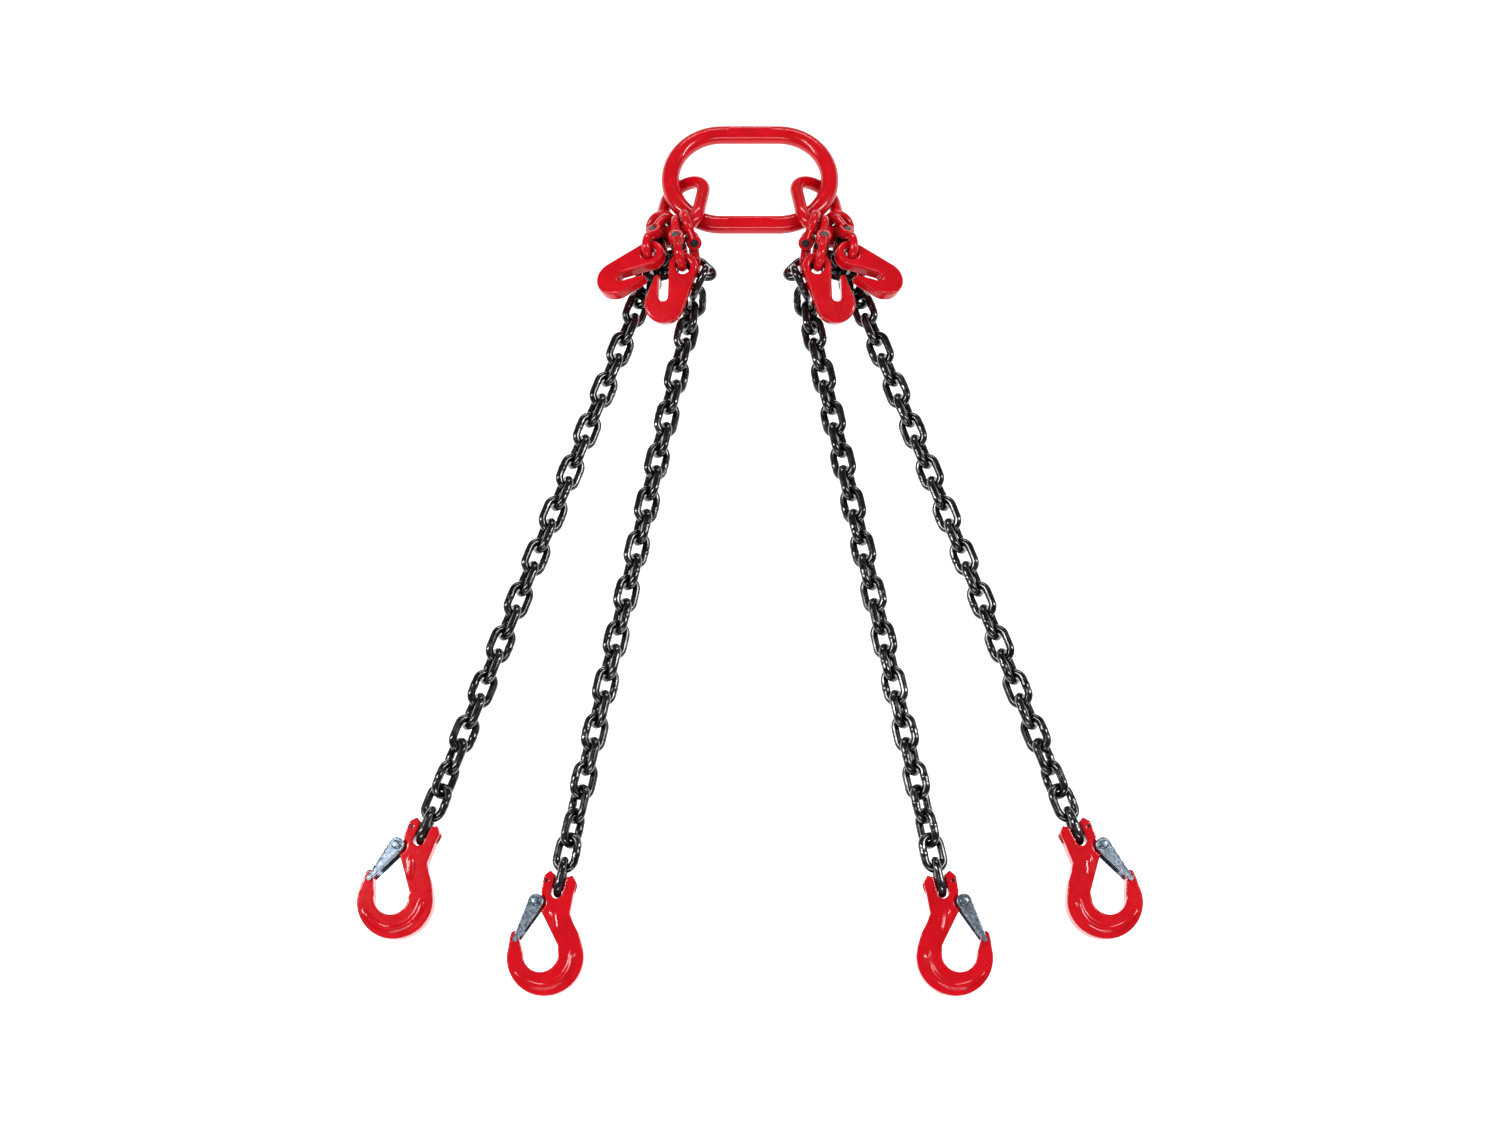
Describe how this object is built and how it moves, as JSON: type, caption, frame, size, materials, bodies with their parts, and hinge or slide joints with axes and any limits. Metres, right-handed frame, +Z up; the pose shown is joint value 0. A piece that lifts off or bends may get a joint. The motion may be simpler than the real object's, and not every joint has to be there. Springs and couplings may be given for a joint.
{
  "type": "four leg chain sling",
  "caption": "Grade 80 chain sling laid out flat: oblong master link, two intermediate links, legs with shortening grab hooks and latched clevis hooks.",
  "frame": {"origin": "middle of the whole sling's box, on the floor it lies on", "axes": "+X to the right, +Y from the hooks towards the master link, +Z up from the floor"},
  "size_m": [0.7426, 0.9116, 0.0717],
  "materials": {
    "red_coat": "glossy red powder coat on forged steel",
    "chain_steel": "dark oiled alloy steel",
    "dark_steel": "phosphated dark steel",
    "zinc_sheet": "bright zinc plated sheet",
    "spring_steel": "drawn spring wire"
  },
  "bodies": {
    "master": {"master_link": "red_coat"},
    "left_intermediate": {"intermediate_link_left": "red_coat"},
    "left_outer_chain_coupling_top": {"left_outer_chain_coupling_upper": "red_coat"},
    "left_outer_chain_coupling_bottom": {"left_outer_chain_coupling_lower": "red_coat", "left_outer_chain_coupling_pin": "dark_steel"},
    "left_outer_hook_coupling_top": {"left_outer_hook_coupling_upper": "red_coat"},
    "left_outer_hook_coupling_bottom": {"left_outer_hook_coupling_lower": "red_coat", "left_outer_hook_coupling_pin": "dark_steel"},
    "left_outer_chain_upper": {"left_outer_chain_upper": "chain_steel"},
    "left_outer_chain_middle": {"left_outer_chain_middle": "chain_steel"},
    "left_outer_chain_lower": {"left_outer_chain_lower": "chain_steel"},
    "left_outer_hook": {"left_outer_sling_hook": "red_coat", "left_outer_hook_pins": "dark_steel", "left_outer_latch_spring": "spring_steel"},
    "left_outer_latch_body": {"left_outer_latch": "zinc_sheet"},
    "left_outer_grab": {"left_outer_grab_hook": "red_coat"},
    "left_inner_chain_coupling_top": {"left_inner_chain_coupling_upper": "red_coat"},
    "left_inner_chain_coupling_bottom": {"left_inner_chain_coupling_lower": "red_coat", "left_inner_chain_coupling_pin": "dark_steel"},
    "left_inner_hook_coupling_top": {"left_inner_hook_coupling_upper": "red_coat"},
    "left_inner_hook_coupling_bottom": {"left_inner_hook_coupling_lower": "red_coat", "left_inner_hook_coupling_pin": "dark_steel"},
    "left_inner_chain_upper": {"left_inner_chain_upper": "chain_steel"},
    "left_inner_chain_middle": {"left_inner_chain_middle": "chain_steel"},
    "left_inner_chain_lower": {"left_inner_chain_lower": "chain_steel"},
    "left_inner_hook": {"left_inner_sling_hook": "red_coat", "left_inner_hook_pins": "dark_steel", "left_inner_latch_spring": "spring_steel"},
    "left_inner_latch_body": {"left_inner_latch": "zinc_sheet"},
    "left_inner_grab": {"left_inner_grab_hook": "red_coat"},
    "right_intermediate": {"intermediate_link_right": "red_coat"},
    "right_outer_chain_coupling_top": {"right_outer_chain_coupling_upper": "red_coat"},
    "right_outer_chain_coupling_bottom": {"right_outer_chain_coupling_lower": "red_coat", "right_outer_chain_coupling_pin": "dark_steel"},
    "right_outer_hook_coupling_top": {"right_outer_hook_coupling_upper": "red_coat"},
    "right_outer_hook_coupling_bottom": {"right_outer_hook_coupling_lower": "red_coat", "right_outer_hook_coupling_pin": "dark_steel"},
    "right_outer_chain_upper": {"right_outer_chain_upper": "chain_steel"},
    "right_outer_chain_middle": {"right_outer_chain_middle": "chain_steel"},
    "right_outer_chain_lower": {"right_outer_chain_lower": "chain_steel"},
    "right_outer_hook": {"right_outer_sling_hook": "red_coat", "right_outer_hook_pins": "dark_steel", "right_outer_latch_spring": "spring_steel"},
    "right_outer_latch_body": {"right_outer_latch": "zinc_sheet"},
    "right_outer_grab": {"right_outer_grab_hook": "red_coat"},
    "right_inner_chain_coupling_top": {"right_inner_chain_coupling_upper": "red_coat"},
    "right_inner_chain_coupling_bottom": {"right_inner_chain_coupling_lower": "red_coat", "right_inner_chain_coupling_pin": "dark_steel"},
    "right_inner_hook_coupling_top": {"right_inner_hook_coupling_upper": "red_coat"},
    "right_inner_hook_coupling_bottom": {"right_inner_hook_coupling_lower": "red_coat", "right_inner_hook_coupling_pin": "dark_steel"},
    "right_inner_chain_upper": {"right_inner_chain_upper": "chain_steel"},
    "right_inner_chain_middle": {"right_inner_chain_middle": "chain_steel"},
    "right_inner_chain_lower": {"right_inner_chain_lower": "chain_steel"},
    "right_inner_hook": {"right_inner_sling_hook": "red_coat", "right_inner_hook_pins": "dark_steel", "right_inner_latch_spring": "spring_steel"},
    "right_inner_latch_body": {"right_inner_latch": "zinc_sheet"},
    "right_inner_grab": {"right_inner_grab_hook": "red_coat"}
  },
  "joints": [
    {"name": "left_intermediate_swing", "type": "hinge", "parent": "master", "child": "left_intermediate", "pos_m": [-0.08362, 0.38586, 0.02835], "axis": [0.1182, -0.9926, 0.0277], "range_deg": [0, 5]},
    {"name": "left_outer_chain_coupling_top_swing", "type": "hinge", "parent": "left_intermediate", "child": "left_outer_chain_coupling_top", "pos_m": [-0.09379, 0.33828, 0.02678], "axis": [-0.0608, 0.8898, -0.4522], "range_deg": [-2, 5]},
    {"name": "left_outer_chain_coupling_bottom_fold", "type": "hinge", "parent": "left_outer_chain_coupling_top", "child": "left_outer_chain_coupling_bottom", "pos_m": [-0.0927, 0.32634, 0.01477], "axis": [-0.9113, -0.2864, 0.2959], "range_deg": [-5, 2]},
    {"name": "left_outer_hook_coupling_top_swing", "type": "hinge", "parent": "left_intermediate", "child": "left_outer_hook_coupling_top", "pos_m": [-0.08823, 0.3266, 0.03548], "axis": [-0.6097, 0.5198, -0.5984], "range_deg": [-4, 4]},
    {"name": "left_outer_hook_coupling_bottom_fold", "type": "hinge", "parent": "left_outer_hook_coupling_top", "child": "left_outer_hook_coupling_bottom", "pos_m": [-0.0968, 0.31404, 0.04267], "axis": [-0.2594, 0.5621, 0.7853], "range_deg": [-5, 5]},
    {"name": "left_outer_chain_upper_bend", "type": "hinge", "parent": "left_outer_chain_coupling_bottom", "child": "left_outer_chain_upper", "pos_m": [-0.09387, 0.29935, 0.00574], "axis": [0, 0, 1], "range_deg": [-7, 2]},
    {"name": "left_outer_chain_middle_bend", "type": "hinge", "parent": "left_outer_chain_upper", "child": "left_outer_chain_middle", "pos_m": [-0.15395, 0.14779, 0.01207], "axis": [0, 0, 1], "range_deg": [-10, 6]},
    {"name": "left_outer_chain_lower_bend", "type": "hinge", "parent": "left_outer_chain_middle", "child": "left_outer_chain_lower", "pos_m": [-0.23347, -0.07866, 0.01207], "axis": [0, 0, 1], "range_deg": [-12, 10]},
    {"name": "left_outer_hook_swing", "type": "hinge", "parent": "left_outer_chain_lower", "child": "left_outer_hook", "pos_m": [-0.31164, -0.30123, 0.01357], "axis": [0.9171, -0.3987, 0], "range_deg": [-60, 60]},
    {"name": "left_outer_latch_open", "type": "hinge", "parent": "left_outer_hook", "child": "left_outer_latch_body", "pos_m": [-0.33561, -0.31423, 0.0127], "axis": [-0.016, -0.0368, 0.9992], "range_deg": [0, 42], "stiffness_Nm_per_rad": 0.02, "springref_deg": -20.05, "deforming": ["left_outer_latch_spring"]},
    {"name": "left_outer_grab_hook_swing", "type": "hinge", "parent": "left_outer_hook_coupling_bottom", "child": "left_outer_grab", "pos_m": [-0.10399, 0.28799, 0.05353], "axis": [-0.3367, 0.2753, 0.9005], "range_deg": [-8, 8]},
    {"name": "left_inner_chain_coupling_top_swing", "type": "hinge", "parent": "left_intermediate", "child": "left_inner_chain_coupling_top", "pos_m": [-0.0642, 0.3278, 0.04891], "axis": [-0.787, -0.5894, -0.1821], "range_deg": [-1.5, 0]},
    {"name": "left_inner_chain_coupling_bottom_fold", "type": "hinge", "parent": "left_inner_chain_coupling_top", "child": "left_inner_chain_coupling_bottom", "pos_m": [-0.0594, 0.31574, 0.03757], "axis": [0.1217, -0.6123, 0.7812], "range_deg": [0, 5]},
    {"name": "left_inner_hook_coupling_top_swing", "type": "hinge", "parent": "left_intermediate", "child": "left_inner_hook_coupling_top", "pos_m": [-0.0754, 0.32309, 0.0446], "axis": [0.8807, 0.1119, 0.4603], "range_deg": [-1.5, 0]},
    {"name": "left_inner_hook_coupling_bottom_fold", "type": "hinge", "parent": "left_inner_hook_coupling_top", "child": "left_inner_hook_coupling_bottom", "pos_m": [-0.0743, 0.30614, 0.04917], "axis": [0.1507, -0.2673, -0.9517], "range_deg": [0, 5]},
    {"name": "left_inner_chain_upper_bend", "type": "hinge", "parent": "left_inner_chain_coupling_bottom", "child": "left_inner_chain_upper", "pos_m": [-0.05854, 0.29535, 0.02403], "axis": [0, 0, 1], "range_deg": [0, 2.5]},
    {"name": "left_inner_chain_middle_bend", "type": "hinge", "parent": "left_inner_chain_upper", "child": "left_inner_chain_middle", "pos_m": [-0.08717, 0.11582, 0.01207], "axis": [0, 0, 1], "range_deg": [-6, 2]},
    {"name": "left_inner_chain_lower_bend", "type": "hinge", "parent": "left_inner_chain_middle", "child": "left_inner_chain_lower", "pos_m": [-0.13419, -0.11953, 0.01207], "axis": [0, 0, 1], "range_deg": [-10, 5]},
    {"name": "left_inner_hook_swing", "type": "hinge", "parent": "left_inner_chain_lower", "child": "left_inner_hook", "pos_m": [-0.18042, -0.35086, 0.01357], "axis": [0.974, -0.2266, 0], "range_deg": [-60, 60]},
    {"name": "left_inner_latch_open", "type": "hinge", "parent": "left_inner_hook", "child": "left_inner_latch_body", "pos_m": [-0.20165, -0.36797, 0.0127], "axis": [-0.0091, -0.0391, 0.9992], "range_deg": [0, 42], "stiffness_Nm_per_rad": 0.02, "springref_deg": -20.05, "deforming": ["left_inner_latch_spring"]},
    {"name": "left_inner_grab_hook_swing", "type": "hinge", "parent": "left_inner_hook_coupling_bottom", "child": "left_inner_grab", "pos_m": [-0.06959, 0.2779, 0.05155], "axis": [0.075, 0.1813, -0.9806], "range_deg": [0, 5]},
    {"name": "right_intermediate_swing", "type": "hinge", "parent": "master", "child": "right_intermediate", "pos_m": [0.08362, 0.38586, 0.02835], "axis": [0.1182, 0.9926, -0.0277], "range_deg": [0, 5]},
    {"name": "right_outer_chain_coupling_top_swing", "type": "hinge", "parent": "right_intermediate", "child": "right_outer_chain_coupling_top", "pos_m": [0.09379, 0.33828, 0.02678], "axis": [-0.0608, -0.8898, 0.4522], "range_deg": [-2, 5]},
    {"name": "right_outer_chain_coupling_bottom_fold", "type": "hinge", "parent": "right_outer_chain_coupling_top", "child": "right_outer_chain_coupling_bottom", "pos_m": [0.0927, 0.32634, 0.01477], "axis": [-0.9113, 0.2864, -0.2959], "range_deg": [-5, 2]},
    {"name": "right_outer_hook_coupling_top_swing", "type": "hinge", "parent": "right_intermediate", "child": "right_outer_hook_coupling_top", "pos_m": [0.08823, 0.3266, 0.03548], "axis": [-0.6097, -0.5198, 0.5984], "range_deg": [-4, 4]},
    {"name": "right_outer_hook_coupling_bottom_fold", "type": "hinge", "parent": "right_outer_hook_coupling_top", "child": "right_outer_hook_coupling_bottom", "pos_m": [0.0968, 0.31404, 0.04267], "axis": [-0.2594, -0.5621, -0.7853], "range_deg": [-5, 5]},
    {"name": "right_outer_chain_upper_bend", "type": "hinge", "parent": "right_outer_chain_coupling_bottom", "child": "right_outer_chain_upper", "pos_m": [0.09387, 0.29935, 0.00574], "axis": [0, 0, -1], "range_deg": [-7, 2]},
    {"name": "right_outer_chain_middle_bend", "type": "hinge", "parent": "right_outer_chain_upper", "child": "right_outer_chain_middle", "pos_m": [0.15395, 0.14779, 0.01207], "axis": [0, 0, -1], "range_deg": [-10, 6]},
    {"name": "right_outer_chain_lower_bend", "type": "hinge", "parent": "right_outer_chain_middle", "child": "right_outer_chain_lower", "pos_m": [0.23347, -0.07866, 0.01207], "axis": [0, 0, -1], "range_deg": [-12, 10]},
    {"name": "right_outer_hook_swing", "type": "hinge", "parent": "right_outer_chain_lower", "child": "right_outer_hook", "pos_m": [0.31164, -0.30123, 0.01357], "axis": [0.9171, 0.3987, 0], "range_deg": [-60, 60]},
    {"name": "right_outer_latch_open", "type": "hinge", "parent": "right_outer_hook", "child": "right_outer_latch_body", "pos_m": [0.33561, -0.31423, 0.0127], "axis": [-0.016, 0.0368, -0.9992], "range_deg": [0, 42], "stiffness_Nm_per_rad": 0.02, "springref_deg": -20.05, "deforming": ["right_outer_latch_spring"]},
    {"name": "right_outer_grab_hook_swing", "type": "hinge", "parent": "right_outer_hook_coupling_bottom", "child": "right_outer_grab", "pos_m": [0.10399, 0.28799, 0.05353], "axis": [-0.3367, -0.2753, -0.9005], "range_deg": [-8, 8]},
    {"name": "right_inner_chain_coupling_top_swing", "type": "hinge", "parent": "right_intermediate", "child": "right_inner_chain_coupling_top", "pos_m": [0.0642, 0.3278, 0.04891], "axis": [-0.787, 0.5894, 0.1821], "range_deg": [-1.5, 0]},
    {"name": "right_inner_chain_coupling_bottom_fold", "type": "hinge", "parent": "right_inner_chain_coupling_top", "child": "right_inner_chain_coupling_bottom", "pos_m": [0.0594, 0.31574, 0.03757], "axis": [0.1217, 0.6123, -0.7812], "range_deg": [0, 5]},
    {"name": "right_inner_hook_coupling_top_swing", "type": "hinge", "parent": "right_intermediate", "child": "right_inner_hook_coupling_top", "pos_m": [0.0754, 0.32309, 0.0446], "axis": [0.8807, -0.1119, -0.4603], "range_deg": [-1.5, 0]},
    {"name": "right_inner_hook_coupling_bottom_fold", "type": "hinge", "parent": "right_inner_hook_coupling_top", "child": "right_inner_hook_coupling_bottom", "pos_m": [0.0743, 0.30614, 0.04917], "axis": [0.1507, 0.2673, 0.9517], "range_deg": [0, 5]},
    {"name": "right_inner_chain_upper_bend", "type": "hinge", "parent": "right_inner_chain_coupling_bottom", "child": "right_inner_chain_upper", "pos_m": [0.05854, 0.29535, 0.02403], "axis": [0, 0, -1], "range_deg": [0, 2.5]},
    {"name": "right_inner_chain_middle_bend", "type": "hinge", "parent": "right_inner_chain_upper", "child": "right_inner_chain_middle", "pos_m": [0.08717, 0.11582, 0.01207], "axis": [0, 0, -1], "range_deg": [-6, 2]},
    {"name": "right_inner_chain_lower_bend", "type": "hinge", "parent": "right_inner_chain_middle", "child": "right_inner_chain_lower", "pos_m": [0.13419, -0.11953, 0.01207], "axis": [0, 0, -1], "range_deg": [-10, 5]},
    {"name": "right_inner_hook_swing", "type": "hinge", "parent": "right_inner_chain_lower", "child": "right_inner_hook", "pos_m": [0.18042, -0.35086, 0.01357], "axis": [0.974, 0.2266, 0], "range_deg": [-60, 60]},
    {"name": "right_inner_latch_open", "type": "hinge", "parent": "right_inner_hook", "child": "right_inner_latch_body", "pos_m": [0.20165, -0.36797, 0.0127], "axis": [-0.0091, 0.0391, -0.9992], "range_deg": [0, 42], "stiffness_Nm_per_rad": 0.02, "springref_deg": -20.05, "deforming": ["right_inner_latch_spring"]},
    {"name": "right_inner_grab_hook_swing", "type": "hinge", "parent": "right_inner_hook_coupling_bottom", "child": "right_inner_grab", "pos_m": [0.06959, 0.2779, 0.05155], "axis": [0.075, -0.1813, 0.9806], "range_deg": [0, 5]}
  ]
}
